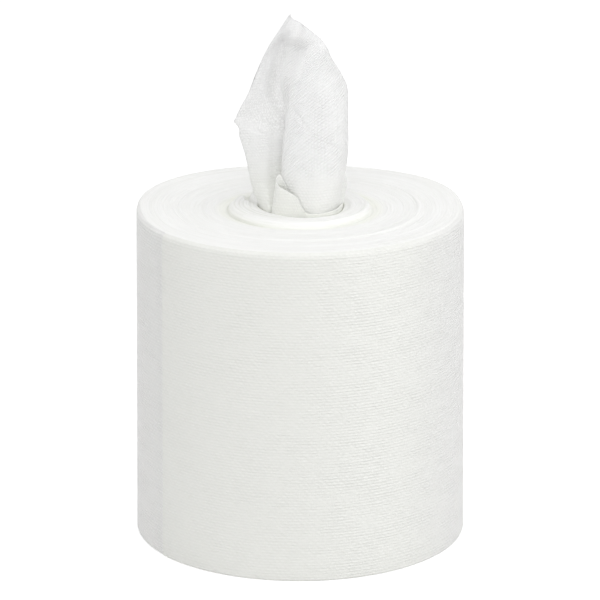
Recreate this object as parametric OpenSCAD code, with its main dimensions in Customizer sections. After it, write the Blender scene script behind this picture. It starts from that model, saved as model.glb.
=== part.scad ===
// A coreless, centre-pull roll of wet wipes standing on end, with its first wipe drawn up out of the middle.
// Millimetres. The origin is the middle of the bottom face, +Z is up, and -Y is the side seen first.

/* [Roll] */
// Outside diameter of the roll
roll_d = 199; // [170:1:230]
// Height of the roll, which is the width of the wipes' web
roll_h = 203; // [150:1:260]
// Diameter of the hole that the winding mandrel left
bore_d = 60; // [52:1:66]
// Radius of the soft edge round the top face
top_edge_r = 4; // [2:0.5:5]
// Radius of the soft edge round the bottom face
bottom_edge_r = 1.5; // [1:0.5:3]
// Radius of the soft edges of the hole
bore_edge_r = 1.5; // [0.5:0.5:2.5]

/* [Turns] */
// Spacing of the grooves that the turns leave on the end faces
groove_pitch = 2.4; // [1.8:0.1:4]
// Width of those grooves
groove_w = 0.8; // [0.4:0.1:1.2]
// Depth of those grooves
groove_depth = 0.4; // [0.1:0.05:0.6]
// Thickness of the outermost turn where its loose end stops
end_step = 0.6; // [0.2:0.1:1]
// Direction of the loose end, anticlockwise from +X seen from above
end_angle = 215; // [0:5:355]

/* [Top face] */
// Outside diameter of the loosened turns round the hole
coil_d = 86; // [80:1:100]
// Height that the loosened turns were drawn up above the face
coil_rise = 3; // [0.5:0.5:6]
// Width of their rounded shoulder
coil_shoulder = 3; // [1.5:0.5:4]
// Depth of the trough round the loosened turns
trough_depth = 2; // [0:0.5:4]
// Width of that trough
trough_w = 5; // [3:0.5:8]
// Diameter of the swell in the face outside the trough
swell_d = 142; // [130:1:150]
// Height of the swell, which is also the depth of the dip beyond it
swell_rise = 0.6; // [0:0.1:1.5]
// Width of that dip
dip_w = 8; // [5:1:10]

/* [Drawn wipes] */
// Thickness of one wipe
wipe_t = 0.6; // [0.4:0.1:1]
// Height of the first wipe's tip above the top face
wipe_rise = 120; // [80:5:180]
// Depth that the first wipe reaches into the hole
wipe_drop = 74; // [50:2:78]
// Depth that the next wipe reaches into the hole
next_drop = 92; // [80:2:120]
// Height of the next wipe's curled corner above the top face
next_rise = 27; // [10:1:40]
// Gap between the next wipe and the hole's wall, and half the gap between the two wipes
wipe_gap = 0.3; // [0.2:0.1:0.6]

/* [Hidden] */
$fn = 96;

roll_r = roll_d / 2;
bore_r = bore_d / 2;
coil_r = coil_d / 2;
swell_r = swell_d / 2;

// The outer turns are two half rings on centres end_step / 4 either side of the axis.
// Together they make one spiral turn.
ring_w = 8;
ring_lap = 2;
ring_in = roll_r - ring_w;

web_white = "whitesmoke";

// Smooth steps between the [radius, height] pairs of a list.
function smooth(f) = f * f * (3 - 2 * f);
function eased(keys, r, i = 0) =
    r <= keys[0][0] ? keys[0][1] :
    i + 1 >= len(keys) ? keys[i][1] :
    r > keys[i + 1][0] ? eased(keys, r, i + 1) :
    let (f = (r - keys[i][0]) / (keys[i + 1][0] - keys[i][0]))
    keys[i][1] + (keys[i + 1][1] - keys[i][1]) * smooth(f);

// Height of the top face against the distance from the axis, before the turns' own grooves.
face_keys = [
    [bore_r, coil_rise - bore_edge_r],
    [bore_r + bore_edge_r, coil_rise - bore_edge_r / 3],
    [(bore_r + coil_r) / 2, coil_rise],
    [coil_r - coil_shoulder, coil_rise - coil_shoulder / 6],
    [coil_r, 0],
    [coil_r + trough_w / 5, -trough_depth],
    [coil_r + trough_w, -trough_depth / 2],
    [coil_r + 2 * trough_w, -trough_depth / 8],
    [swell_r - dip_w, 0],
    [swell_r, swell_rise],
    [swell_r + dip_w / 2, -swell_rise],
    [swell_r + dip_w, 0]
];
function face_z(r) = roll_h + eased(face_keys, r);

// The wound turns, from the hole out to the outer ring. Both end faces have a groove between each two.
module wound_core() {
    turns = floor((ring_in - bore_r - bore_edge_r) / groove_pitch) - 1;
    groove_rs = [for (k = [1 : turns]) bore_r + bore_edge_r + k * groove_pitch];
    half = groove_w / 2;
    under = [
        for (r = groove_rs)
            each [[r - half, 0], [r, groove_depth], [r + half, 0]]
    ];
    top = [
        for (k = [turns - 1 : -1 : 0])
            let (r = groove_rs[k])
            each [[r + half, face_z(r + half)], [r, face_z(r) - groove_depth], [r - half, face_z(r - half)]]
    ];
    rotate_extrude()
        polygon(concat(
            [[bore_r, bore_edge_r], [bore_r + bore_edge_r, 0]],
            under,
            [[ring_in + ring_lap, 0], [ring_in + ring_lap, roll_h], [ring_in, roll_h]],
            top,
            [[bore_r + bore_edge_r, face_z(bore_r + bore_edge_r)], [bore_r, face_z(bore_r)]]
        ));
}

// Section of the outer ring: square inside and rounded at both outer edges.
// The groove in its top lies between the last two turns.
module ring_section(r) {
    half = groove_w / 2;
    difference() {
        union() {
            translate([ring_in, bottom_edge_r])
                square([r - ring_in, roll_h - bottom_edge_r - top_edge_r]);
            translate([ring_in, 0])
                square([r - bottom_edge_r - ring_in, bottom_edge_r + 1]);
            translate([ring_in, roll_h - top_edge_r - 1])
                square([r - top_edge_r - ring_in, top_edge_r + 1]);
            translate([r - bottom_edge_r, bottom_edge_r])
                circle(bottom_edge_r);
            translate([r - top_edge_r, roll_h - top_edge_r])
                circle(top_edge_r);
        }
        translate([r - top_edge_r - groove_w, roll_h])
            polygon([[-half, 1], [-half, 0], [0, -groove_depth], [half, 0], [half, 1]]);
    }
}

// The outermost turn. It is thickest at its loose end and thins to nothing one turn later.
module outer_turn() {
    rotate([0, 0, end_angle]) {
        translate([end_step / 4, 0, 0])
            rotate_extrude(angle = 180)
                ring_section(roll_r);
        translate([-end_step / 4, 0, 0])
            rotate([0, 0, 180])
                rotate_extrude(angle = 180)
                    ring_section(roll_r - end_step / 2);
    }
}

module wound_roll() {
    color(web_white)
        union() {
            wound_core();
            outer_turn();
        }
}

// A smooth curve through a list of points or numbers, t running from 0 to the last index.
function spline(p, t) =
    let (n = len(p) - 1, i = max(0, min(floor(t), n - 1)), f = t - i,
         a = p[max(i - 1, 0)], b = p[i], c = p[i + 1], d = p[min(i + 2, n)])
    0.5 * (2 * b + (c - a) * f + (2 * a - 5 * b + 4 * c - d) * f * f + (3 * b - a - 3 * c + d) * f * f * f);

// A sheet of even thickness: a closed mesh round a grid of points, rows of equal length.
function grid_normal(g, i, j) =
    let (m = len(g) - 1, n = len(g[0]) - 1,
         du = g[i][min(j + 1, n)] - g[i][max(j - 1, 0)],
         dv = g[min(i + 1, m)][j] - g[max(i - 1, 0)][j],
         c = cross(du, dv))
    c / norm(c);

module sheet(g, t) {
    m = len(g);
    n = len(g[0]);
    o = m * n;
    points = [
        for (s = [-0.5, 0.5]) for (i = [0 : m - 1]) for (j = [0 : n - 1])
            g[i][j] + s * t * grid_normal(g, i, j)
    ];
    function at(i, j) = i * n + j;
    // Two triangles across a side of the sheet, from points a and b of its first face to those of its second
    function rim(a, b) = [[a, b + o, a + o], [a, b, b + o]];
    skins = [
        for (i = [0 : m - 2]) for (j = [0 : n - 2])
            let (a = at(i, j), b = at(i, j + 1), c = at(i + 1, j + 1), d = at(i + 1, j))
            each [[a, b, c], [a, c, d], [a + o, c + o, b + o], [a + o, d + o, c + o]]
    ];
    ends = [
        for (j = [0 : n - 2])
            each concat(rim(at(0, j + 1), at(0, j)), rim(at(m - 1, j), at(m - 1, j + 1)))
    ];
    sides = [
        for (i = [0 : m - 2])
            each concat(rim(at(i, 0), at(i + 1, 0)), rim(at(i + 1, n - 1), at(i, n - 1)))
    ];
    polyhedron(points, concat(skins, ends, sides));
}

next_seat_r = bore_r - wipe_gap - wipe_t / 2;
lead_seat_r = next_seat_r - wipe_t - 2 * wipe_gap;

// The first wipe's folds. Each row is its plan at one height, from its left edge round to its hidden end,
// drawn for a seat radius of fold_r and a tip fold_rise above the face. Rows are fold_gap apart.
fold_r = 28.2;
fold_rise = 120;
fold_low = -74;
fold_gap = 22;
fold_rows = [
    // 8 below the face
    [[-21, 4], [-20, -3], [-16, -6], [-12, 0], [-7, 3], [-9, -8],
     [-3, -20], [11, -22], [24, -8], [22, 9], [9, 19], [-7, 18]],
    // 14 above the face
    [[-28, 2], [-24, -4], [-18, -4], [-12, 4], [-6, 4], [-11, -7],
     [-4, -18], [10, -20], [26, -7], [23, 9], [9, 18], [-8, 17]],
    // 36
    [[-33, 3], [-28, -3], [-21, -1], [-13, 8], [-6, 6], [-10.5, -6],
     [-4, -15], [10, -18], [28, -5], [24, 9], [10, 15], [-6, 13]],
    // 58
    [[-39, 0], [-32, -5], [-22, -3], [-13, 7], [-5, 7], [-8.5, -5],
     [-3, -14], [10, -17], [28, -5], [25, 8], [12, 14], [-3, 12]],
    // 80
    [[-28, -1], [-24, -5], [-18, -4], [-12, 3], [-6, 3], [-7, -4],
     [-1, -12], [12, -14], [28, -5], [25, 6], [12, 11], [0, 10]],
    // 102
    [[-18, -2], [-15, -5], [-10, -5], [-6, -3], [-2, -3], [2, -5],
     [8, -9], [14.5, -8], [25, -4], [22, 1], [13, 5], [5, 6]],
    // 124
    [[-4, -2], [-3, -4], [-1, -4], [1, -4], [3, -4], [6, -4],
     [11, -4], [13, -4], [20, -3], [18, -2], [12, 0], [8, 2]]
];
// Height of the wipe's upper edge at each column of those rows
fold_tops = [120, 119, 118, 116, 114, 112, 108, 101, 73, 55, 38, 22];
// How far round the wipe each column lies, along its length
fold_at = [0, 12, 26, 40, 54, 68, 88, 108, 126, 142, 158, 172];
// Where the wipe's lower edge starts against the hole's wall, and how far round it goes
lead_start = 150;
lead_sweep = 330;

function on_wall(r, a) = r * [cos(a), sin(a)];
lead_arc = [for (s = fold_at) on_wall(fold_r, lead_start + lead_sweep * s / max(fold_at))];
// How far the plan has gone from that arc to the first row of folds, at each row below it
lead_gather = [0, 0.2, 0.55];
lead_rows = concat([for (f = lead_gather) (1 - f) * lead_arc + f * fold_rows[0]], fold_rows);

function lead_point(u, v) =
    let (top = spline(fold_tops, u),
         z = fold_low + (top - fold_low) * v,
         row = (z - fold_low) / fold_gap,
         xy = spline([for (r = lead_rows) spline(r, u)], row) * lead_seat_r / fold_r)
    [xy.x, xy.y, roll_h + (z > 0 ? z * wipe_rise / fold_rise : z * wipe_drop / -fold_low)];

module lead_wipe() {
    columns = 33;
    rows = 26;
    last = len(fold_at) - 1;
    color("white")
        sheet(
            [for (i = [0 : rows]) [for (j = [0 : columns]) lead_point(last * j / columns, i / rows)]],
            wipe_t
        );
}

// The next wipe: a loose sleeve in the mouth of the hole, whose front corner stands up as a curled leaf.
// Each column is [angle on the wall, height of its upper edge, how far that edge leans in,
// how far it swings round].
next_columns = [
    [212, 17, 5, 14], [224, 25, 6, 8], [236, 27, 7, 4], [248, 19, 6, 0], [260, 12, 3, 0],
    [274, 3, 0.6, 0], [296, 2, 0.6, 0], [325, 3, 0.6, 0], [350, 9, 0.6, 0], [372, 13, 0.6, 0],
    [402, 9, 0.6, 0], [440, 5, 0.6, 0], [480, 3, 0.6, 0]
];
leaf_rise = 27;
// How far up the sleeve it starts to lean in
lean_from = 0.7;

function next_point(u, v) =
    let (c = spline(next_columns, u),
         lean = smooth(max(0, (v - lean_from) / (1 - lean_from))),
         r = next_seat_r - c[2] * lean,
         a = c[0] + c[3] * lean,
         top = c[1] * next_rise / leaf_rise,
         z = -next_drop + (top + next_drop) * v)
    [r * cos(a), r * sin(a), roll_h + z];

module next_wipe() {
    columns = 36;
    rows = 10;
    last = len(next_columns) - 1;
    color("white")
        sheet(
            [for (i = [0 : rows]) [for (j = [0 : columns]) next_point(last * j / columns, i / rows)]],
            wipe_t
        );
}

wound_roll();
lead_wipe();
next_wipe();
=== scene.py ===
# A coreless, centre-pull roll of wet wipes on end, with its first wipe drawn up out of the middle.
import math

import bmesh
import bpy
import numpy as np
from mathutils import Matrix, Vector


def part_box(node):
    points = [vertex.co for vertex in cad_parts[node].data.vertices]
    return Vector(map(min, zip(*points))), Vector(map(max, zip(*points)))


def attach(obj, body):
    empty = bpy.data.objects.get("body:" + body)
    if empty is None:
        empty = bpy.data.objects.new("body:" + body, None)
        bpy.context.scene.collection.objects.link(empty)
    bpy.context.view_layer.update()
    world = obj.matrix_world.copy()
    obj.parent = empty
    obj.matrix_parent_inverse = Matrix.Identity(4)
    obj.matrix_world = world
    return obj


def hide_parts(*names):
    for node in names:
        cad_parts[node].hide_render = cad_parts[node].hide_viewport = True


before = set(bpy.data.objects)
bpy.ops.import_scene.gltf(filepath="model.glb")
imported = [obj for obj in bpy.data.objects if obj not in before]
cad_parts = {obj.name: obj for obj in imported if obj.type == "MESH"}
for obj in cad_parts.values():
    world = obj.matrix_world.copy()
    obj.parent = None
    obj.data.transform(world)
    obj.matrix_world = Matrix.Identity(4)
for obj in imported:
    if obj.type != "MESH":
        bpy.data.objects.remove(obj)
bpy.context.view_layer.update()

MM = 0.001
TAU = 2 * math.pi

# Camera, in metres and degrees. It is aimed at a point on the roll's axis.
VIEW_TILT = 17.1
VIEW_DISTANCE = 2.388
VIEW_AIM = 0.1443
VIEW_LENS = 235.4

# The roll, in millimetres. Heights on the top face are taken from the flat part of that face.
COIL_RISE = 3.0
COIL_R = 43.0
COIL_SHOULDER = 3.0
TROUGH_DEPTH = 1.5
TROUGH_W = 5.0
SWELL_R = 71.0
SWELL_RISE = 0.6
DIP_W = 8.0
TOP_EDGE_R = 4.0
BACK_EDGE_R = 1.5
BOTTOM_EDGE_R = 1.5
BORE_EDGE_R = 1.5
END_STEP = 0.6
END_ANGLE = math.radians(215)
END_SLOPE = math.radians(1.3)
FOOT_FLARE = 1.8
BUNDLE_PITCH = 2.1
# Depth below the top face at which the hole's wall starts to lean in to its mouth
LEAN_DEPTH = 30

roll_low, roll_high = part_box("wound_roll")
ROLL_R = (roll_high.x - roll_low.x) / MM / 2 + END_STEP / 4
ROLL_H = roll_high.z / MM - COIL_RISE
BORE_R = 30.0

# The drawn wipes, in millimetres.
WIPE_T = 0.5
LEAD_LOW = -74
NEXT_LOW = -92


def hermite(x, xs, ys):
    """A smooth curve through the rows of ys at the rising places xs."""
    xs = np.asarray(xs, float)
    ys = np.asarray(ys, float)
    x = np.clip(x, xs[0], xs[-1])
    slope = np.gradient(ys, xs, axis=0)
    i = np.clip(np.searchsorted(xs, x, side="right") - 1, 0, len(xs) - 2)
    w = xs[i + 1] - xs[i]
    f = (x - xs[i]) / w
    if ys.ndim > 1:
        f, w = f[:, None], w[:, None]
    h00 = (1 + 2 * f) * (1 - f) ** 2
    h10 = f * (1 - f) ** 2
    h01 = f * f * (3 - 2 * f)
    h11 = f * f * (f - 1)
    return h00 * ys[i] + h10 * w * slope[i] + h01 * ys[i + 1] + h11 * w * slope[i + 1]


def smooth(x, low=0.0, high=1.0):
    """0 below low, 1 above high, and an even step between."""
    f = np.clip((x - low) / (high - low), 0, 1)
    return f * f * (3 - 2 * f)


def eased(x, keys):
    """Smooth steps between the [place, height] pairs of a list."""
    xs, ys = np.array(keys, float).T
    i = np.clip(np.searchsorted(xs, x, side="right") - 1, 0, len(xs) - 2)
    return ys[i] + (ys[i + 1] - ys[i]) * smooth(x, xs[i], xs[i + 1])


def wander(x, period, seed):
    """A smooth random line of unit height that changes over about one period."""
    spots = np.random.default_rng(seed).normal(size=4096)
    i = np.floor(x / period).astype(int)
    return spots[i % 4096] + (spots[(i + 1) % 4096] - spots[i % 4096]) * smooth(x / period - i)


def paint(sheet, name, values):
    """A value for each point of a sheet's grid, for its material to read. Both faces of the sheet have it."""
    layer = sheet.data.attributes.new(name, "FLOAT", "POINT")
    layer.data.foreach_set("value", np.tile(np.asarray(values, np.float32).ravel(), 2))


def make_object(name, verts, faces, uvs, materials, slots=None):
    """An object from points in mm, faces, and a texture place in mm for every corner."""
    mesh = bpy.data.meshes.new(name)
    mesh.from_pydata((verts * MM).tolist(), [], faces.tolist())
    layer = mesh.uv_layers.new(name="web")
    layer.data.foreach_set("uv", uvs.astype(np.float32).ravel())
    for m in materials:
        mesh.materials.append(m)
    if slots is not None:
        mesh.polygons.foreach_set("material_index", slots.astype(np.int32))
    mesh.polygons.foreach_set("use_smooth", np.ones(len(faces), bool))
    mesh.update()
    obj = bpy.data.objects.new(name, mesh)
    bpy.context.scene.collection.objects.link(obj)
    return obj


# Nodes for the materials

class Shade:
    """A material's node tree, with short calls for the sums that the web's texture needs."""

    def __init__(self, name):
        self.material = bpy.data.materials.new(name)
        self.material.use_nodes = True
        self.tree = self.material.node_tree
        self.skin = self.tree.nodes["Principled BSDF"]

    def node(self, kind, **values):
        made = self.tree.nodes.new(kind)
        for key, value in values.items():
            setattr(made, key, value)
        return made

    def put(self, socket, value):
        if isinstance(value, bpy.types.NodeSocket):
            self.tree.links.new(value, socket)
        else:
            socket.default_value = value

    def place(self):
        """The web's texture place, in mm."""
        return self.node("ShaderNodeUVMap", uv_map="web").outputs[0]

    def painted(self, name):
        """A value that paint or paint_face has put on the points."""
        return self.node("ShaderNodeAttribute", attribute_name=name).outputs["Fac"]

    def sum(self, operation, *values):
        made = self.node("ShaderNodeMath", operation=operation)
        for socket, value in zip(made.inputs, values):
            self.put(socket, value)
        return made.outputs[0]

    def ramp(self, value, low, high, out_low=0.0, out_high=1.0):
        made = self.node("ShaderNodeMapRange", interpolation_type="SMOOTHSTEP")
        for socket, given in zip(made.inputs, (value, low, high, out_low, out_high)):
            self.put(socket, given)
        return made.outputs[0]

    def noise(self, place, scale, detail=2.0, rough=0.5):
        made = self.node("ShaderNodeTexNoise")
        self.put(made.inputs["Vector"], place)
        made.inputs["Scale"].default_value = scale
        made.inputs["Detail"].default_value = detail
        made.inputs["Roughness"].default_value = rough
        return made.outputs["Fac"]

    def scaled(self, place, by):
        made = self.node("ShaderNodeVectorMath", operation="MULTIPLY")
        self.put(made.inputs[0], place)
        made.inputs[1].default_value = by
        return made.outputs[0]

    def mix(self, amount, a, b):
        made = self.node("ShaderNodeMix", data_type="RGBA")
        self.put(made.inputs["Factor"], amount)
        self.put(made.inputs["A"], a)
        self.put(made.inputs["B"], b)
        return made.outputs["Result"]

    def bump(self, height, distance, strength=1.0, below=None):
        made = self.node("ShaderNodeBump")
        made.inputs["Distance"].default_value = distance
        made.inputs["Strength"].default_value = strength
        self.put(made.inputs["Height"], height)
        if below is not None:
            self.put(made.inputs["Normal"], below)
        return made.outputs["Normal"]


def lattice(shade, place, angle, pitch, dash, wave, unbroken=0.4):
    """Height, about -1 to 1, of the embossed web: broken rows, each staggered against the next.

    place is in mm, the rows rise at angle degrees, pitch is between rows, dash along a row, and unbroken is
    the share of the height that runs on along a row."""
    turned = shade.node("ShaderNodeVectorRotate", rotation_type="Z_AXIS")
    shade.put(turned.inputs["Vector"], place)
    turned.inputs["Angle"].default_value = math.radians(-angle)
    split = shade.node("ShaderNodeSeparateXYZ")
    shade.put(split.inputs[0], turned.outputs[0])
    drift = shade.noise(place, 0.14, 2.0)
    sway = shade.noise(shade.scaled(place, (0.05, 0.25, 1.0)), 1.0, 1.0)
    u = shade.sum("MULTIPLY_ADD", drift, 3.0, split.outputs[0])
    v = shade.sum("MULTIPLY_ADD", sway, wave, split.outputs[1])
    rows = shade.sum("COSINE", shade.sum("MULTIPLY", v, TAU / pitch))
    stagger = shade.sum("COSINE", shade.sum("MULTIPLY", v, math.pi / pitch))
    columns = shade.sum("COSINE", shade.sum("MULTIPLY", u, TAU / dash))
    dashes = shade.sum("MULTIPLY", columns, stagger)
    height = shade.sum("MULTIPLY_ADD", dashes, 1 - unbroken, shade.sum("MULTIPLY", rows, unbroken))
    return height, turned.outputs[0]


def web_skin(shade, colour, shadow, tone, height, fine, bump_mm, fine_mm, glow, gloss):
    """The settings that every face of the web shares."""
    shade.put(shade.skin.inputs["Base Color"], shade.mix(tone, shadow, colour))
    coarse = shade.bump(height, bump_mm * MM)
    shade.put(shade.skin.inputs["Normal"], shade.bump(fine, fine_mm * MM, 1.0, coarse))
    shade.put(shade.skin.inputs["Roughness"], shade.ramp(fine, 0.3, 0.7, 0.46, 0.60))
    shade.skin.inputs["Specular IOR Level"].default_value = gloss
    shade.skin.inputs["Sheen Weight"].default_value = 0.3
    shade.skin.inputs["Sheen Roughness"].default_value = 0.3
    shade.skin.inputs["Subsurface Weight"].default_value = glow
    shade.skin.inputs["Subsurface Radius"].default_value = (1.0, 1.0, 1.0)
    shade.skin.inputs["Subsurface Scale"].default_value = 0.6 * MM


def make_web_side(name):
    """The roll's side: level rows of broken ridges, clearer in some patches than in others."""
    shade = Shade(name)
    place = shade.place()
    rows, _ = lattice(shade, place, 0, 1.85, 3.4, 0.7, 0.55)
    threads = shade.noise(shade.scaled(place, (0.22, 1.3, 1.0)), 1.0, 3.0, 0.7)
    fibres = shade.noise(shade.scaled(place, (0.9, 2.2, 1.0)), 1.0, 2.0, 0.6)
    patches = shade.noise(shade.scaled(place, (0.04, 0.09, 1.0)), 1.0, 3.0)
    patches = shade.ramp(patches, 0.35, 0.62, 0.45, 1.0)
    split = shade.node("ShaderNodeSeparateXYZ")
    shade.put(split.inputs[0], place)
    across = split.outputs[0]
    # Towards the right the rows stand out more, in relief and in tone. The stronger tone there is painted
    # raking light.
    clearer = shade.ramp(across, ROLL_R * math.radians(52), ROLL_R * math.radians(74), 0.52, 0.84)
    rows = shade.sum("MULTIPLY", rows, shade.sum("MULTIPLY", patches, clearer))
    height = shade.sum("MULTIPLY_ADD", rows, 0.42, shade.sum("MULTIPLY_ADD", threads, 0.7, 0.15))
    clouds = shade.noise(shade.scaled(place, (0.02, 0.03, 1.0)), 1.0, 2.0)
    tone = shade.sum("MULTIPLY_ADD", clouds, 0.12, shade.sum("MULTIPLY", height, 0.88))
    tone = shade.ramp(tone, 0.0, 1.0)
    # Painted shade and a cooler tint on the turn below the loose end, darkest in a painted shadow of that
    # end.
    turn_length = TAU * ROLL_R
    below = shade.ramp(across, turn_length - 40, turn_length - 24)
    end_shadow = shade.ramp(across, turn_length - 14, turn_length)
    tone = shade.sum("MULTIPLY_ADD", below, -0.06, shade.sum("MULTIPLY_ADD", end_shadow, -0.22, tone))
    far_right = shade.ramp(across, ROLL_R * math.radians(88), ROLL_R * math.radians(125))
    # Painted reflection: the cooler tint there and on the far right stands for the white surroundings seen at
    # a grazing angle.
    grazing_reflection = shade.sum("MAXIMUM", below, far_right)
    colour = shade.mix(grazing_reflection, (0.896, 0.899, 0.867, 1), (0.890, 0.889, 0.874, 1))
    shadow = shade.mix(grazing_reflection, (0.800, 0.805, 0.769, 1), (0.795, 0.794, 0.780, 1))
    web_skin(shade, colour, shadow, tone, height, fibres, 0.55, 0.10, 0.2, 0.5)
    return shade.material


def make_web_wipe(name):
    """The drawn wipes: thin and glowing, with sloping ribs on the panels and level ones at the foot."""
    shade = Shade(name)
    place = shade.place()
    folded = shade.painted("folded")
    raised = shade.painted("raised")
    hem = shade.painted("hem")
    damp = shade.painted("damp")
    painted_light = shade.painted("painted_light")
    painted_shade = shade.painted("painted_shade")
    foot, _ = lattice(shade, place, 0, 1.75, 2.6, 1.0, 0.5)
    panel, along = lattice(shade, place, 34, 1.75, 2.4, 0.9, 0.62)
    fold, across = lattice(shade, place, 62, 1.6, 1.9, 0.8, 0.3)
    threads = shade.noise(shade.scaled(along, (0.6, 1.5, 1.0)), 1.0, 3.0, 0.7)
    specks = shade.noise(shade.scaled(across, (0.5, 1.5, 1.0)), 1.0, 2.0, 0.8)
    patches = shade.ramp(shade.noise(place, 0.06, 2.0), 0.35, 0.65, 0.5, 1.0)
    level = shade.sum("MULTIPLY", foot, shade.sum("MULTIPLY_ADD", raised, -0.6, 0.6))
    lower = shade.sum("MULTIPLY_ADD", panel, raised, level)
    lower = shade.sum("MULTIPLY", lower, patches)
    lower = shade.sum("MULTIPLY_ADD", lower, 0.50, shade.sum("MULTIPLY_ADD", threads, 0.5, 0.25))
    upper = shade.sum("MULTIPLY_ADD", fold, 0.16, shade.sum("MULTIPLY_ADD", specks, 0.9, 0.05))
    pick = shade.node("ShaderNodeMix", data_type="FLOAT")
    shade.put(pick.inputs["Factor"], folded)
    shade.put(pick.inputs["A"], lower)
    shade.put(pick.inputs["B"], upper)
    height = pick.outputs["Result"]
    # On the folded layer bright specks are painted into the colour as glints of light on the threads.
    glints = shade.ramp(shade.sum("MULTIPLY_ADD", fold, 0.09, specks), 0.46, 0.63)
    tone = shade.sum("MULTIPLY", glints, folded)
    plain = shade.sum("MULTIPLY", shade.ramp(height, 0.0, 1.0), shade.sum("SUBTRACT", 1.0, folded))
    tone = shade.sum("ADD", tone, plain)
    fibres = shade.noise(shade.scaled(along, (1.0, 2.4, 1.0)), 1.0, 2.0, 0.6)
    # The folded layer's bright colour is that of the painted glints.
    shadow = shade.mix(folded, (0.802, 0.804, 0.798, 1), (0.822, 0.822, 0.818, 1))
    colour = shade.mix(folded, (0.876, 0.876, 0.874, 1), (0.985, 0.985, 0.983, 1))
    # Painted light lightens the upper left, where the thin single layer lets light through, and lifts the
    # shade in the pocket and on the right panel's left half.
    shadow = shade.mix(painted_light, shadow, (0.885, 0.885, 0.886, 1))
    colour = shade.mix(painted_light, colour, (1.0, 1.0, 1.0, 1))
    # Down in the fold painted shade darkens the web. The cut edge shows as a fine line, and the foot is damp
    # and greener.
    colour = shade.mix(painted_shade, colour, (0.905, 0.905, 0.900, 1))
    shadow = shade.mix(painted_shade, shadow, (0.755, 0.755, 0.750, 1))
    colour = shade.mix(hem, colour, (0.72, 0.73, 0.725, 1))
    shadow = shade.mix(damp, shadow, (0.80, 0.808, 0.765, 1))
    colour = shade.mix(damp, colour, (0.885, 0.892, 0.858, 1))
    web_skin(shade, colour, shadow, tone, height, fibres, 0.45, 0.10, 0.7, 0.35)
    return shade.material


def make_edges(name):
    """The ends of the turns: a fine line for each few turns, fuzzy, a little uneven and damp at the coil."""
    shade = Shade(name)
    place = shade.place()
    damp = shade.painted("damp")
    painted_shade = shade.painted("painted_shade")
    turn_lines = shade.noise(shade.scaled(place, (1.0, 0.012, 1.0)), 1.15, 3.0, 0.75)
    bands = shade.noise(shade.scaled(place, (1.0, 0.004, 1.0)), 0.22, 2.0, 0.5)
    fuzz = shade.noise(shade.scaled(place, (1.0, 0.35, 1.0)), 2.2, 2.0, 0.6)
    lines = shade.sum("MULTIPLY_ADD", turn_lines, 0.7, shade.sum("MULTIPLY", bands, 0.3))
    tone = shade.ramp(lines, 0.32, 0.60)
    colour = shade.mix(damp, (0.936, 0.936, 0.921, 1), (0.928, 0.935, 0.880, 1))
    shadow = shade.mix(damp, (0.872, 0.874, 0.850, 1), (0.862, 0.872, 0.805, 1))
    # Painted shade, tinted olive, in the grooves between turns
    colour = shade.mix(painted_shade, colour, (0.70, 0.71, 0.65, 1))
    shadow = shade.mix(painted_shade, shadow, (0.64, 0.655, 0.58, 1))
    web_skin(shade, colour, shadow, tone, turn_lines, fuzz, 0.30, 0.10, 0.4, 0.4)
    return shade.material


# The wound roll

# Heights across the top face: (radius, height)
FACE_KEYS = [
    (BORE_R, COIL_RISE - 1.2),
    (BORE_R + BORE_EDGE_R, COIL_RISE - 0.3),
    ((BORE_R + COIL_R) / 2, COIL_RISE),
    (COIL_R - COIL_SHOULDER, COIL_RISE - 0.5),
    (COIL_R, 0.0),
    (COIL_R + TROUGH_W / 5, -TROUGH_DEPTH),
    (COIL_R + TROUGH_W, -TROUGH_DEPTH / 2),
    (COIL_R + 2 * TROUGH_W, -0.3),
    (SWELL_R - DIP_W, 0.0),
    (SWELL_R, SWELL_RISE),
    (SWELL_R + DIP_W / 2, -SWELL_RISE),
    (SWELL_R + DIP_W, 0.0),
]

# Radius of the hole's mouth at directions anticlockwise from +X: the innermost turns lean in on the wipes.
MOUTH = [(-20, 26.8), (0, 26.4), (30, 27.6), (60, 28.8), (110, 28.4), (140, 26.0), (160, 25.5),
         (175, 25.5), (200, 24.6), (225, 25.0), (250, 26.2), (270, 27.0), (295, 28.0), (320, 28.0),
         (340, 26.5), (360, 26.1), (390, 27.6)]


def mouth_r(angle):
    """Radius of the hole's mouth at an angle in radians, anticlockwise from +X."""
    at, r = np.array(MOUTH, float).T
    return hermite(np.degrees(angle) % 360, at, r)


def face_height(r, angle, phi):
    """Height of the top face in mm, at distance r and angle, where phi is the angle from the loose end."""
    turn = (r - BORE_R) / BUNDLE_PITCH + phi / TAU
    number = np.floor(turn)
    along = number - phi / TAU
    part = turn - number
    crest = 1 - (2 * part - 1) ** 4
    bundle = 0.16 * wander(along, 2.3, 3) + 0.10 * wander(along, 0.7, 4)
    fade = smooth(r, 24.0, 31.0) * (1 - smooth(r, ROLL_R - 7, ROLL_R - TOP_EDGE_R))
    sag = 0.25 * np.sin(phi * 2 + 1.0) * smooth(r, COIL_R, COIL_R + 8) * (1 - smooth(r, 80, 90))
    lower = -0.8 * smooth(np.cos(angle - math.radians(-30)), 0.0, 1.0) * (1 - smooth(r, COIL_R - 6, COIL_R))
    coil = 0.28 * wander(along, 1.6, 5) * smooth(r, 28, 32) * (1 - smooth(r, COIL_R - 1, COIL_R + 1))
    rise = rim_rise(angle) * smooth(r, 58, 96)
    return (eased(r, FACE_KEYS) + fade * (bundle + 0.14 * (crest - 1)) + sag * fade
            - 3.8 * parting(r, angle) + lower + coil + rise)


def parting(r, angle):
    """1 in the middle of the crescent where the loosened turns part on the left, and 0 outside it."""
    turned = np.degrees(angle) % 360
    middle = 38.5 - 0.42 * (turned - 146)
    ends = smooth(turned, 128, 146) * (1 - smooth(turned, 162, 178))
    return ends * np.exp(-((r - middle) / 2.3) ** 2)


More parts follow.
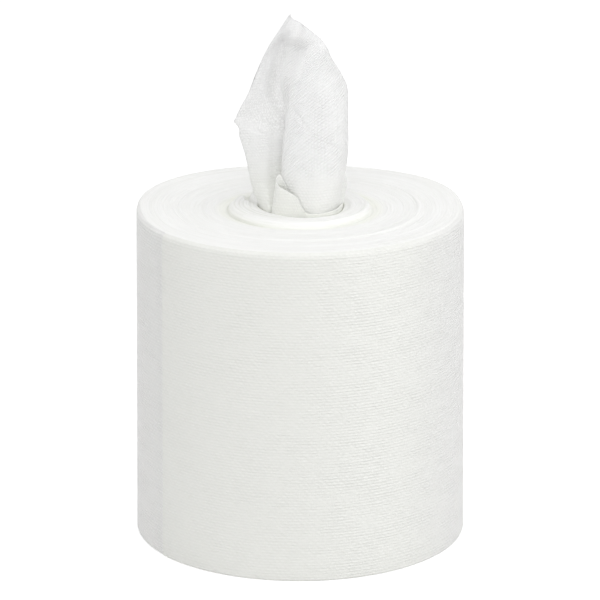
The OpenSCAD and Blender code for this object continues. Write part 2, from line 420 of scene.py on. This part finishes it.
def rim_rise(angle):
    """Height in mm by which the rim stands up at the sides and behind."""
    turned = np.degrees(angle) % 360
    left = np.exp(-((turned - 160) / 50) ** 2)
    right = np.exp(-(((turned - 30 + 180) % 360 - 180) / 32) ** 2)
    return 2.4 * (left + right) * (1 - smooth(-np.sin(angle), 0.1, 0.6))


def roll_piece():
    """The wound turns: rings of points from the hole's foot up, over the top face, down the side and back."""
    round_turn = np.linspace(0, TAU - END_SLOPE, 425)[:-1]
    loose_end = TAU - END_SLOPE * np.linspace(1, 0, 14)
    phi = np.concatenate([round_turn, loose_end])
    columns = len(phi) - 1
    rim_r = ROLL_R - END_STEP * phi / TAU + END_STEP * smooth(phi, TAU - END_SLOPE, TAU)
    parts = []

    def add(r, z, slot, u, v):
        """One ring of points: radii and heights for every column, with its texture place."""
        parts.append((np.broadcast_to(r, phi.shape), np.broadcast_to(z, phi.shape), slot, u, v))

    arc = phi * ROLL_R
    spiral = 0.3 * phi / TAU
    angle = END_ANGLE + phi
    top_r = TOP_EDGE_R + (BACK_EDGE_R - TOP_EDGE_R) * smooth(np.sin(angle), -0.2, 0.4)
    rim_h = ROLL_H + rim_rise(angle)

    def side_r(z):
        """Radius of the side, which spreads a little towards the foot."""
        return rim_r + FOOT_FLARE * (1 - z / ROLL_H)

    mouth = mouth_r(angle)
    lip = ROLL_H + face_height(mouth, angle, phi) - BORE_EDGE_R
    for f in np.linspace(0, 1, 8):
        z = BORE_EDGE_R + (ROLL_H - LEAN_DEPTH - BORE_EDGE_R) * f
        add(BORE_R, z, 0, phi * BORE_R, 170 * f + 0 * phi)
    for f in np.linspace(0, 1, 9)[1:]:
        r = BORE_R + (mouth - BORE_R) * smooth(f)
        z = ROLL_H - LEAN_DEPTH + (lip - ROLL_H + LEAN_DEPTH) * f
        add(r, z, 0, phi * BORE_R, 170 + 30 * f + 0 * phi)
    for a in np.linspace(0, math.pi / 2, 5)[1:-1]:
        r = mouth + BORE_EDGE_R * (1 - math.cos(a))
        z = lip + BORE_EDGE_R * math.sin(a)
        add(r, z, 1, r + spiral, arc)
    for f in np.linspace(0, 1, 150):
        start = mouth + BORE_EDGE_R
        r = start + (rim_r - top_r - start) * f
        add(r, ROLL_H + face_height(r, angle, phi), 1, r + spiral, arc)
    for a in np.linspace(0, math.pi / 2, 9)[1:]:
        r = rim_r - top_r * (1 - math.sin(a))
        z = rim_h - top_r * (1 - math.cos(a))
        if a < 0.45:
            add(r, z, 1, r + spiral, arc)
        else:
            add(r, z, 0, arc, z)
    for f in np.linspace(0, 1, 22)[1:]:
        z = (rim_h - top_r) * (1 - f) + BOTTOM_EDGE_R * f
        add(side_r(z), z, 0, arc, z)
    for a in np.linspace(0, math.pi / 2, 5)[1:]:
        r = side_r(0) - BOTTOM_EDGE_R * (1 - math.cos(a))
        z = BOTTOM_EDGE_R * (1 - math.sin(a))
        add(r, z, 0, arc, z + 0 * phi)
    for f in np.linspace(1, 0, 26)[1:]:
        r = BORE_R + BORE_EDGE_R + (side_r(0) - BOTTOM_EDGE_R - BORE_R - BORE_EDGE_R) * f
        add(r, 0.0, 1, r + spiral, arc)

    rings = len(parts)
    r = np.array([p[0] for p in parts])
    z = np.array([p[1] for p in parts])
    a = END_ANGLE + phi
    verts = np.stack([r * np.cos(a), r * np.sin(a), z], axis=-1)
    uv = np.stack([np.array([p[3] for p in parts]), np.array([p[4] for p in parts])], axis=-1)

    # The first and last columns lie at the same place, and share their points.
    index = np.arange(rings * (columns + 1)).reshape(rings, columns + 1)
    index[:, -1] = index[:, 0]
    faces, corner_uv, slots = [], [], []
    for i in range(rings):
        k = (i + 1) % rings
        near = uv[i]
        if parts[i][2] != parts[k][2]:
            # Where the materials meet, the ring takes its texture place as the next one does.
            near = np.stack([r[i] + spiral, arc] if parts[k][2] else [uv[k][:, 0], z[i]], axis=-1)
        faces.append(np.stack([index[i, :-1], index[i, 1:], index[k, 1:], index[k, :-1]], axis=1))
        corner_uv.append(np.stack([near[:-1], near[1:], uv[k, 1:], uv[k, :-1]], axis=1))
        slots.append(np.full(columns, parts[k][2]))
    faces = np.concatenate(faces)
    obj = make_object("wound_turns", verts.reshape(-1, 3), faces, np.concatenate(corner_uv).reshape(-1, 2),
                      [web_side, web_edges], np.concatenate(slots))
    tidy(obj)
    paint_face(obj)
    return obj


# Where a few of the coil's turns stand apart, most of them on the left, painted shade draws a dark line:
# radius, and the degrees of both ends
APART = [(40.6, 105, 235), (37.6, 120, 250), (34.8, 150, 262), (32.0, 185, 275), (39.6, 290, 400)]


def paint_face(obj):
    """Marks where the top face is damp, and where painted shade darkens it between turns, for its material.
    """
    places = np.empty(3 * len(obj.data.vertices), np.float32)
    obj.data.vertices.foreach_get("co", places)
    x, y, z = places.reshape(-1, 3).T / MM
    r = np.hypot(x, y)
    angle = np.arctan2(y, x)
    side = np.abs(np.cos(angle))
    behind = smooth(np.sin(angle), 0.45, 0.95)
    top = smooth(z, ROLL_H - 8, ROLL_H - 4)
    ring = np.exp(-((r - 45.0 - 1.5 * side) / (1.6 + 2.2 * side)) ** 2)
    mouth = 0.8 * (1 - smooth(r - mouth_r(angle), 0.0, 2.0))
    damp = np.clip(ring * (1 - 0.8 * behind) + mouth, 0, 1) * top
    # Painted shade: a dark line just outside the coil at the sides, strongest on the left, with more in the
    # parting and where turns stand apart.
    edge = np.exp(-((r - COIL_R - 0.8) / 0.7) ** 2) * smooth(side, 0.25, 0.7) * (0.75 - 0.25 * np.cos(angle))
    turned = np.degrees(angle) % 360
    apart = np.zeros(r.shape)
    for middle, start, end in APART:
        spread = smooth(turned, start, start + 25) * (1 - smooth(turned, end - 25, end))
        apart = np.maximum(apart, spread * np.exp(-((r - middle + 0.012 * (turned - start)) / 0.45) ** 2))
    painted_shade = np.clip(0.7 * edge + 0.45 * parting(r, angle) + 0.42 * apart, 0, 1) * top
    for name, values in (("damp", damp), ("painted_shade", painted_shade)):
        layer = obj.data.attributes.new(name, "FLOAT", "POINT")
        layer.data.foreach_set("value", values.astype(np.float32))


def tidy(obj):
    """Drops unused points, joins points that lie together, and turns every face outwards."""
    bm = bmesh.new()
    bm.from_mesh(obj.data)
    loose = [v for v in bm.verts if not v.link_faces]
    bmesh.ops.delete(bm, geom=loose, context="VERTS")
    bmesh.ops.remove_doubles(bm, verts=bm.verts, dist=1e-7)
    bmesh.ops.recalc_face_normals(bm, faces=bm.faces)
    bm.to_mesh(obj.data)
    bm.free()


# The drawn wipes

# The first wipe's columns: how far along the web each lies, and the height of its upper edge
LEAD_AT = [-9, 0, 9, 19, 29, 36, 46, 58, 76, 90, 102, 109, 120, 138, 156]
LEAD_TOPS = [114, 120, 119.8, 119.3, 118.3, 116.9, 115, 112, 104.3, 93, 78.5, 67, 52, 38, 22]
# Plans of the wipe at heights above the face. The first column is the hem behind the left fold, the second
# the left fold, and then come the left panel, the valley, its right wall, the lip of the right panel, that
# panel's front, the right fold, the crease behind it and the part that turns back behind them.
LEAD_ROWS = {
    -8: [(-17, 6), (-22.5, 0), (-20.8, -8.5), (-17.8, -14), (-13, -14), (-8.4, -12), (-8.8, -15.5),
         (-2.5, -22), (10, -23.8), (18.8, -16.8), (22.4, -9), (24, -4.3), (24, 3), (9, 18), (-7, 17)],
    3: [(-18, 6), (-24.7, -1), (-22.6, -8.9), (-19.0, -14.6), (-14, -14.2), (-8.8, -11.8), (-9.8, -15.5),
        (-3, -22.5), (9.5, -24.3), (19.2, -17.4), (23.1, -9), (24.5, -4.4), (24.8, 2.5), (9, 18), (-7, 17)],
    9: [(-20, 6), (-27, -3), (-24, -8.8), (-19.3, -12.4), (-14, -11), (-8.6, -9), (-10.4, -14),
        (-3.8, -21.5), (9.2, -24.4), (20.2, -18), (23.6, -9.3), (24.2, -4.2), (26.3, 2.5), (9, 18),
        (-7, 17)],
    15: [(-21, 6), (-28.8, -4), (-24.8, -8), (-19.6, -8.8), (-13.6, -6), (-8, -5), (-10.8, -12.8),
         (-4.5, -20.4), (9, -23.5), (20.8, -18), (24.7, -9.5), (24.2, -4), (27.5, 2.5), (9, 17), (-8, 16)],
    25: [(-23, 5), (-30.8, -5), (-26.5, -7.5), (-20.5, -6.5), (-14, -3.5), (-8, -3), (-10.9, -11),
         (-5, -18.5), (8.5, -22.3), (22, -17.5), (27, -9), (26.4, -4), (24.5, 3), (10, 16), (-7, 15)],
    36: [(-25, 5), (-33.2, -5.5), (-28.5, -7), (-21.5, -5.5), (-14.5, -2.8), (-7.5, -2.2), (-10.4, -9.8),
         (-5, -16.8), (8.5, -21), (22.5, -17), (28.2, -8.5), (27.4, -3), (24, 5), (10, 15), (-6, 13)],
    47: [(-28, 4), (-36.4, -6), (-31, -7), (-23, -5.5), (-15, -2.8), (-7, -2), (-9.6, -9.3), (-4.5, -15.6),
         (8.5, -19.8), (22.5, -16.5), (28.3, -8.5), (27.6, -3), (24.5, 5), (11, 14), (-5, 12)],
    52.5: [(-29, 3), (-37.2, -6), (-32, -7), (-24, -5.6), (-15.5, -2.8), (-7, -2), (-9.1, -9), (-4.2, -15),
           (8.5, -19.3), (22.5, -16.2), (28.3, -8.5), (27.6, -3), (24.5, 5), (11.5, 13.5), (-4.5, 12)],
    55: [(-31, 3), (-40, -6), (-33.2, -7), (-24.6, -5.6), (-15.8, -2.8), (-7, -2), (-8.9, -9),
         (-3.8, -14.8), (8.5, -19), (22.5, -16), (28.3, -8.5), (27.6, -3), (24.5, 5), (12, 13), (-4, 12)],
    57.5: [(-30.5, 3), (-38.8, -6), (-33, -7), (-24.6, -5.6), (-16, -2.8), (-7.2, -2), (-8.6, -8.8),
           (-3.6, -14.4), (8.7, -18.6), (22.4, -15.6), (28.3, -8.3), (27.6, -3), (24.5, 5), (12, 12.5),
           (-3.5, 11.5)],
    64: [(-28.5, 4.2), (-35.9, -6), (-31, -7), (-23.8, -5.4), (-16, -2.4), (-8.4, -2), (-7.9, -8.4),
         (-3.2, -13.6), (9, -17.9), (22.2, -14.8), (28.3, -8), (27.6, -3), (24.5, 5), (12, 12), (-3, 11)],
    72: [(-24.5, 4.5), (-31.6, -5.6), (-27.5, -6.8), (-22, -5.2), (-16.5, -1.6), (-11.2, -1), (-8, -7.6),
         (-2.6, -12.6), (9.5, -16.8), (21.8, -13.5), (28.1, -7.5), (27.4, -3), (24, 4), (12, 11), (-1, 10)],
    82: [(-21.5, 4.2), (-27.7, -5.5), (-24.5, -6.5), (-20.5, -4.8), (-16.2, -0.8), (-11.8, -0.4),
         (-7, -6.6), (-1.2, -11.6), (10.5, -15), (21.4, -12), (27, -7), (26.5, -3), (23.5, 4), (12, 10),
         (0, 9)],
    90: [(-19, 3.8), (-24.4, -5.5), (-21.8, -6.5), (-18.2, -4.6), (-14.2, 0), (-9.8, 0.6), (-3.8, -5),
         (2, -10.2), (12, -12.8), (20.4, -10.8), (26.2, -6), (25.2, -3), (23, 2), (12, 8), (3, 8)],
    96: [(-16.5, 3), (-21.6, -5.5), (-19.4, -6.5), (-16.2, -3.8), (-12.6, 1), (-8.4, 2), (-1.6, -2.6),
         (4, -8.4), (13.6, -10.8), (19.8, -9.5), (25.5, -5), (24.5, -2.5), (22, 1), (13, 5.5), (4.5, 6.5)],
    100: [(-14.5, 2.4), (-19.4, -5.5), (-17.4, -6.5), (-14.6, -3.2), (-11.2, 1.5), (-7, 2), (-0.6, -1.5),
          (5, -7.4), (14.2, -9.6), (19.4, -8.5), (24.5, -5), (23.5, -2.5), (21, 1), (13, 5), (5, 6)],
    103: [(-13.5, 1.8), (-17.6, -5.6), (-15.8, -6.8), (-13.2, -3.6), (-10, 0), (-6, -1.5), (-0.4, -5.6),
          (5.4, -7.8), (14.1, -8.6), (19, -7.6), (23.8, -4.2), (22.8, -2), (20.3, 0.6), (13, 4), (5, 5)],
    106: [(-12.5, 1), (-15.6, -5.7), (-14, -7.4), (-11.8, -6.6), (-8.8, -6), (-4.8, -8), (0, -9),
          (5.6, -8.6), (14, -8), (18.7, -7.2), (23.2, -4), (22.2, -2), (19.8, 0.5), (13, 3.7), (5.4, 4.7)],
    110: [(-10.3, -1.7), (-12.8, -5.8), (-11.6, -8), (-9.6, -8.8), (-7, -9.2), (-3.4, -9.4), (0.9, -9.2),
          (5.6, -8.6), (13.5, -7.4), (18.2, -6.6), (22.3, -4), (21.3, -2), (19.2, 0.1), (13, 3.1),
          (5.9, 4.1)],
    115: [(-7.8, -2.5), (-9.6, -5.5), (-8.7, -7.8), (-7.1, -8.8), (-4.7, -9.2), (-1.4, -9), (1.9, -8.4),
          (5.4, -7.8), (13, -6.8), (17, -6), (21, -4), (20, -2), (18, -1), (13, 2), (7, 3)],
    121: [(-4.6, -3), (-5.4, -4.5), (-5, -6), (-4.3, -7.6), (-2.6, -8.4), (0.6, -8.4), (3.2, -8), (6, -7),
          (12, -6), (16, -5), (20, -4), (19, -3), (17, -2), (12, 0), (8, 2)],
}
LEAD_SEAT_R = 28.2
LEAD_ARC = [LEAD_SEAT_R * np.array([math.cos(a), math.sin(a)])
            for a in np.radians(135 + 330 * np.array(LEAD_AT) / LEAD_AT[-1])]
# How far the plan has gone from the arc on the hole's wall to the first row of folds, at each height
LEAD_GATHER = {LEAD_LOW: 0.0, -52: 0.2, -30: 0.55}


def lead_grid(columns, rows):
    """Points of the first wipe's middle surface, in mm, and each one's column and height."""
    first = np.array(LEAD_ROWS[-8], float)
    heights = list(LEAD_GATHER) + list(LEAD_ROWS)
    plans = [(1 - f) * np.array(LEAD_ARC) + f * first for f in LEAD_GATHER.values()]
    plans += [np.array(p, float) for p in LEAD_ROWS.values()]
    u = np.linspace(0, len(LEAD_AT) - 1, columns)
    places = np.arange(len(LEAD_AT))
    dense = np.array([hermite(u, places, p) for p in plans])
    tops = hermite(u, places, LEAD_TOPS)
    grid = np.empty((rows, columns, 3))
    height = np.empty((rows, columns))
    for j in range(columns):
        h = LEAD_LOW + (tops[j] - LEAD_LOW) * np.linspace(0, 1, rows)
        xy = hermite(h, heights, dense[:, j])
        grid[:, j, :2] = xy
        grid[:, j, 2] = ROLL_H + h
        height[:, j] = h
    return grid, np.broadcast_to(u, height.shape), height


def normals_of(grid):
    """Unit normals of a grid of points."""
    du = np.gradient(grid, axis=1)
    dv = np.gradient(grid, axis=0)
    n = np.cross(du, dv)
    return n / np.maximum(np.linalg.norm(n, axis=-1, keepdims=True), 1e-9)


def sheet_object(name, grid, uv, thickness, material):
    """A closed thin sheet round a grid of points."""
    m, n = grid.shape[:2]
    normal = normals_of(grid)
    inner = (grid - normal * thickness / 2).reshape(-1, 3)
    outer = (grid + normal * thickness / 2).reshape(-1, 3)
    verts = np.concatenate([inner, outer])
    index = np.arange(m * n).reshape(m, n)
    flat_uv = uv.reshape(-1, 2)
    a, b = index[:-1, :-1].ravel(), index[:-1, 1:].ravel()
    c, d = index[1:, 1:].ravel(), index[1:, :-1].ravel()
    back = np.stack([a, d, c, b], axis=1)
    front = np.stack([a, b, c, d], axis=1) + m * n
    loop = np.concatenate([index[0, :], index[1:, -1], index[-1, -2::-1], index[-2:0:-1, 0]])
    after = np.roll(loop, -1)
    rim = np.stack([loop, after, after + m * n, loop + m * n], axis=1)
    faces = np.concatenate([back, front, rim])
    corner_uv = flat_uv[faces % (m * n)].reshape(-1, 2)
    return make_object(name, verts, faces, corner_uv, [material])


def near_line(x, h, start, end, width):
    """1 along the stretch from start to end, falling to 0 beyond about its width. Places are (x, height)."""
    (x0, h0), (x1, h1) = start, end
    length = math.hypot(x1 - x0, h1 - h0)
    along = ((x - x0) * (x1 - x0) + (h - h0) * (h1 - h0)) / length ** 2
    off = ((x - x0) * (h1 - h0) - (h - h0) * (x1 - x0)) / length
    return np.exp(-(off / width) ** 2) * smooth(along, -0.1, 0.25) * (1 - smooth(along, 0.75, 1.1))


def lead_piece():
    """The first wipe: a gathered scroll with a folded layer at its upper left."""
    grid, u, h = lead_grid(240, 200)
    normal = normals_of(grid)
    x = grid[..., 0]
    front = 1 - smooth(u, 10.0, 10.6)
    # The upper left is a second layer, folded over, that ends along a slanting line.
    line = 53 - 0.436 * (x + 37)
    over = smooth(h - line, -0.6, 0.6) * (1 - smooth(u, 4.6, 5.4)) * (1 - smooth(h, 95, 112))
    # Creases, and a slight unevenness all over
    creases = 0.6 * near_line(x, h, (-3.5, 64), (5, 53), 1.0)
    creases += 0.2 * near_line(x, h, (6, 50), (24, 40), 1.6)
    creases -= 0.6 * near_line(x, h, (-25, 51), (-20, 48), 0.7)
    creases += 0.5 * near_line(x, h, (22, 70), (22.5, 28), 1.3)
    s = np.interp(u, np.arange(len(LEAD_AT)), LEAD_AT)
    uneven = 0.30 * np.sin(s * 0.21 + h * 0.05) * np.sin(h * 0.09 + 0.7)
    uneven += 0.12 * np.sin(s * 0.55 - h * 0.12)
    uneven *= smooth(h, -6, 12)
    grid = grid + normal * (-0.5 * over - creases * front + 0.5 * uneven)[..., None]
    uv = np.stack([s, h], axis=-1)
    lead = sheet_object("first_wipe", grid, uv, WIPE_T, web_wipe)
    # Where each texture and tone shows: 1 on the folded layer, and 1 up on the panels clear of the foot
    left = 1 - smooth(u, 4.6, 5.6)
    paint(lead, "folded", left * smooth(h - line, -2, 9))
    paint(lead, "raised", smooth(h, 12, 34) * smooth(u, 4.6, 5.6))
    paint(lead, "damp", (1 - smooth(h, -4, 42)) * (1 - 0.4 * smooth(u, 6, 8)))
    # Painted light on the right panel's left half, the pocket and the upper left
    panel_left = smooth(u, 5.6, 6.6) * (1 - smooth(u, 7.3, 8.6)) * smooth(h, 4, 30)
    pocket = smooth(u, 5.2, 6.4) * (1 - smooth(u, 7.6, 8.6)) * np.exp(-((h - 103) / 4) ** 2)
    upper_left = (1 - smooth(u, 5.2, 6.4)) * smooth(h, 54, 94)
    paint(lead, "painted_light", np.clip(upper_left + 0.5 * panel_left + 0.6 * pocket, 0, 1))
    # Painted shade along the middle of the fold between the panels, at heights up the wipe
    fold_h = [46, 50, 56, 63, 70, 78, 84, 90, 100]
    fold_x = hermite(h, fold_h, [-12, -12.2, -13.4, -14.8, -17, -16.4, -15, -12, -7.5])
    fold_shade = np.exp(-((x - fold_x) / (2.5 + 0.04 * (h - 46))) ** 2) * smooth(h, 52, 68)
    fold_shade *= (1 - 0.35 * smooth(h, 80, 92)) * (1 - smooth(h, 99, 105))
    paint(lead, "painted_shade", fold_shade * (1 - smooth(u, 6.0, 6.6)))
    # The cut edge at the top, from the tip down the right
    top = hermite(u[0], np.arange(len(LEAD_AT)), LEAD_TOPS)[None, :]
    paint(lead, "hem", (1 - smooth(top - h, 0.4, 1.1)) * smooth(u, 3.2, 4.6))
    return lead


NEXT_SEAT_R = 29.3
NEXT_LENGTH = 137
# The curled leaf: plan of each column at the mouth and at its top, with the height of that top
NEXT_LEAF = [
    ((-7.5, -19.6), (-8.2, -19.0), 18), ((-10.3, -17.6), (-10.3, -18.0), 22.5),
    ((-14.0, -17.4), (-12.4, -18.2), 25.6), ((-17.2, -18.6), (-14.2, -20.0), 22.5),
    ((-14.6, -21.6), (-12.8, -22.0), 19.2), ((-9.2, -23.9), (-9.0, -22.8), 17.2),
    ((-4.6, -25.0), (-4.9, -23.0), 14.8), ((-0.6, -25.6), (-1.2, -24.0), 12), ((2.0, -25.9), (1.2, -25.0), 7),
]
# The rest of its upper edge: direction in degrees, and height
NEXT_EDGE = [(280, 3.6), (296, 3.0), (312, 3.2), (326, 3.6), (340, 3.8), (354, 3.4), (370, 3.0), (390, 6),
             (410, 9), (430, 7), (450, 4), (480, 3)]


def next_piece():
    """The next wipe: a sleeve in the mouth of the hole, with its front corner curled up."""
    columns, rows = 220, 110
    plan_low, plan_top, tops = [], [], []
    for low, top, height in NEXT_LEAF:
        plan_low.append(low)
        plan_top.append(top)
        tops.append(height)
    for angle, height in NEXT_EDGE:
        a = math.radians(angle)
        r = float(mouth_r(np.array([a]))[0]) - 0.75 + 0.3 * math.exp(-((angle - 350) / 22) ** 2)
        plan_low.append((r * math.cos(a), r * math.sin(a)))
        plan_top.append((r * math.cos(a), r * math.sin(a)))
        tops.append(height)
    count = len(tops)
    arc = [NEXT_SEAT_R * np.array([math.cos(a), math.sin(a)])
           for a in np.radians(np.linspace(200, 480, count))]
    u = np.linspace(0, count - 1, columns)
    places = np.arange(count)
    low, top, wall = (hermite(u, places, p) for p in (plan_low, plan_top, arc))
    height = hermite(u, places, tops)
    h = NEXT_LOW + (height - NEXT_LOW) * np.linspace(0, 1, rows)[:, None]
    sink = smooth(h, -34, 0)[..., None]
    rise = np.clip(h / height, 0, 1)[..., None]
    xy = wall * (1 - sink) + (low * (1 - rise) + top * rise) * sink
    grid = np.concatenate([xy, (ROLL_H + h)[..., None]], axis=-1)
    s = np.broadcast_to(u / (count - 1) * NEXT_LENGTH, h.shape)
    uv = np.stack([s, h], axis=-1)
    leaf = sheet_object("next_wipe_leaf", grid, uv, WIPE_T, web_wipe)
    paint(leaf, "damp", 1 - 0.4 * smooth(h, 0, 24))
    for name in ("folded", "raised", "hem", "painted_light", "painted_shade"):
        paint(leaf, name, np.zeros(h.shape))
    return leaf


web_side = make_web_side("web_side")
web_wipe = make_web_wipe("web_wipe")
web_edges = make_edges("web_edges")

roll = roll_piece()
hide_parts("wound_roll")
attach(roll, "root")

lead = lead_piece()
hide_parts("lead_wipe")
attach(lead, "root")

following = next_piece()
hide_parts("next_wipe")
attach(following, "root")


# Stage, lights and camera

def stage_floor():
    """A plain pale floor that takes the shadow, and that the camera and reflections see as near white."""
    mesh = bpy.data.meshes.new("floor")
    half = 6.0
    corners = [(-half, -half, 0), (half, -half, 0), (half, half, 0), (-half, half, 0)]
    mesh.from_pydata(corners, [], [(0, 1, 2, 3)])
    floor = bpy.data.objects.new("floor", mesh)
    bpy.context.scene.collection.objects.link(floor)
    shade = Shade("floor_white")
    tree = shade.tree
    out = tree.nodes["Material Output"]
    tree.nodes.remove(shade.skin)
    path = shade.node("ShaderNodeLightPath")
    mirrored = shade.sum("MAXIMUM", path.outputs["Is Glossy Ray"], path.outputs["Is Transmission Ray"])
    seen = shade.sum("MAXIMUM", path.outputs["Is Camera Ray"], mirrored)
    paper = shade.node("ShaderNodeBsdfDiffuse")
    paper.inputs["Color"].default_value = (0.8, 0.8, 0.8, 1)
    light = shade.node("ShaderNodeEmission")
    light.inputs["Color"].default_value = (1, 1, 1, 1)
    shade.put(light.inputs["Strength"], shade.sum("MULTIPLY", seen, 0.45))
    both = shade.node("ShaderNodeAddShader")
    shade.put(both.inputs[0], paper.outputs[0])
    shade.put(both.inputs[1], light.outputs[0])
    shade.put(out.inputs["Surface"], both.outputs[0])
    mesh.materials.append(shade.material)


def stage_world():
    """A white backdrop for the camera and reflections, and a plain dome of light for the rest."""
    world = bpy.data.worlds.new("studio")
    bpy.context.scene.world = world
    world.use_nodes = True
    tree = world.node_tree
    tree.nodes.clear()
    path = tree.nodes.new("ShaderNodeLightPath")
    backdrop = tree.nodes.new("ShaderNodeBackground")
    backdrop.inputs["Color"].default_value = (1, 1, 1, 1)
    dome = tree.nodes.new("ShaderNodeBackground")
    dome.inputs["Color"].default_value = (1, 1, 1, 1)
    dome.inputs["Strength"].default_value = 0.73
    seen = tree.nodes.new("ShaderNodeMath")
    seen.operation = "MAXIMUM"
    gloss = tree.nodes.new("ShaderNodeMath")
    gloss.operation = "MAXIMUM"
    tree.links.new(path.outputs["Is Glossy Ray"], gloss.inputs[0])
    tree.links.new(path.outputs["Is Transmission Ray"], gloss.inputs[1])
    tree.links.new(path.outputs["Is Camera Ray"], seen.inputs[0])
    tree.links.new(gloss.outputs[0], seen.inputs[1])
    mix = tree.nodes.new("ShaderNodeMixShader")
    tree.links.new(seen.outputs[0], mix.inputs[0])
    tree.links.new(dome.outputs[0], mix.inputs[1])
    tree.links.new(backdrop.outputs[0], mix.inputs[2])
    out = tree.nodes.new("ShaderNodeOutputWorld")
    tree.links.new(mix.outputs[0], out.inputs[0])


def soft_lamp(name, azimuth, elevation, distance, width, height, power):
    """An area lamp aimed at the roll. Azimuth 0 is the photograph's side, and it turns to the right."""
    data = bpy.data.lights.new(name, "AREA")
    data.shape = "RECTANGLE"
    data.size = width
    data.size_y = height
    data.energy = power
    lamp = bpy.data.objects.new(name, data)
    a, e = math.radians(azimuth), math.radians(elevation)
    away = Vector((math.sin(a) * math.cos(e), -math.cos(a) * math.cos(e), math.sin(e)))
    lamp.location = Vector((0, 0, 0.12)) + away * distance
    lamp.rotation_euler = away.to_track_quat("Z", "Y").to_euler()
    lamp.visible_camera = False
    bpy.context.scene.collection.objects.link(lamp)
    return lamp


def stage_camera():
    """A camera at the photograph's distance and tilt."""
    data = bpy.data.cameras.new("camera")
    data.lens = VIEW_LENS
    data.sensor_width = 36
    data.clip_end = 50
    camera = bpy.data.objects.new("camera", data)
    tilt = math.radians(VIEW_TILT)
    camera.location = (0, -VIEW_DISTANCE * math.cos(tilt), VIEW_AIM + VIEW_DISTANCE * math.sin(tilt))
    camera.rotation_euler = (math.pi / 2 - tilt, 0, 0)
    bpy.context.scene.collection.objects.link(camera)
    bpy.context.scene.camera = camera


bpy.context.scene.view_settings.view_transform = "Standard"
bpy.context.scene.cycles.diffuse_bounces = 12
bpy.context.scene.cycles.max_bounces = 16
stage_floor()
stage_world()
# The strip only makes glints: it lights no surface plainly.
strip = soft_lamp("strip", 50, 6, 0.90, 0.14, 0.8, 8)
strip.visible_diffuse = False
soft_lamp("front", 4, 22, 1.8, 1.6, 1.2, 5.3)
soft_lamp("right", 82, 22, 1.2, 0.6, 0.8, 1.5)
soft_lamp("top", 5, 75, 1.5, 1.2, 1.2, 5.3)
stage_camera()
